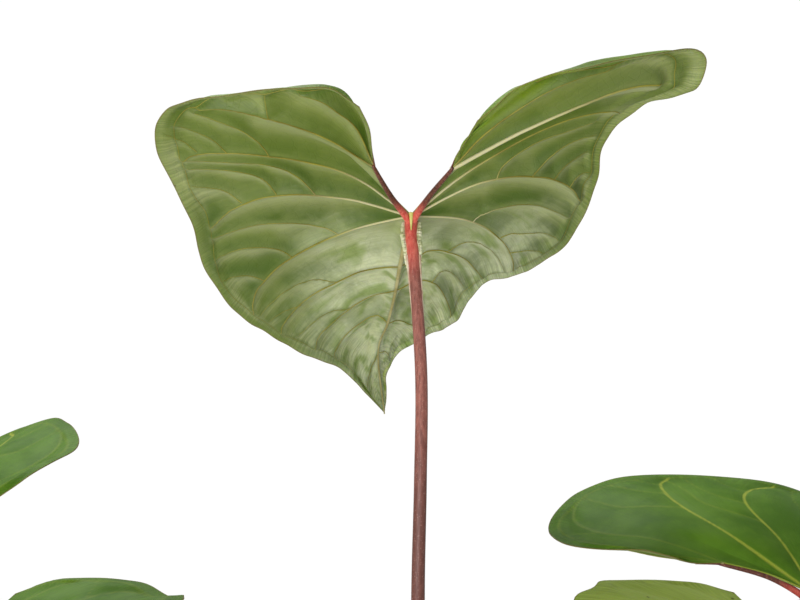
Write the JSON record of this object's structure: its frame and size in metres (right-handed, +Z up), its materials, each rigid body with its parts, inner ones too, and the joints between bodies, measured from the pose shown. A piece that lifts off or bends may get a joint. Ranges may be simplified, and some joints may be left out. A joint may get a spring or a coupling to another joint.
{
  "type": "potted anthurium",
  "caption": "Foliage plant in a plain tapered clay pot: large heart-shaped leaves on long slender stalks that rise from a short stem set in bark mix.",
  "frame": {"origin": "centre of the pot's underside, on the surface the pot stands on", "axes": "+Z up; the underside of the tallest leaf faces -Y and its tip points away towards +Y; +X to the viewer's right when looking along +Y"},
  "size_m": [0.6608, 0.5221, 0.5235],
  "materials": {
    "clay": "matte",
    "bark_mix": "matte",
    "stem_skin": "matte",
    "petiole_skin": "satin",
    "leaf_green": "satin",
    "sheath_paper": "matte",
    "root_skin": "matte"
  },
  "bodies": {
    "root": {"pot": "clay", "bark_mix": "bark_mix", "stem": "stem_skin", "petiole_tall": "petiole_skin", "blade_tall": "leaf_green", "petiole_right": "petiole_skin", "blade_right": "leaf_green", "petiole_left": "petiole_skin", "blade_left": "leaf_green", "petiole_front_left": "petiole_skin", "blade_front_left": "leaf_green", "petiole_front_right": "petiole_skin", "blade_front_right": "leaf_green", "petiole_back": "petiole_skin", "blade_back": "leaf_green", "sheath_1": "sheath_paper", "sheath_2": "sheath_paper", "root_1": "root_skin", "root_2": "root_skin", "root_3": "root_skin"}
  },
  "joints": []
}
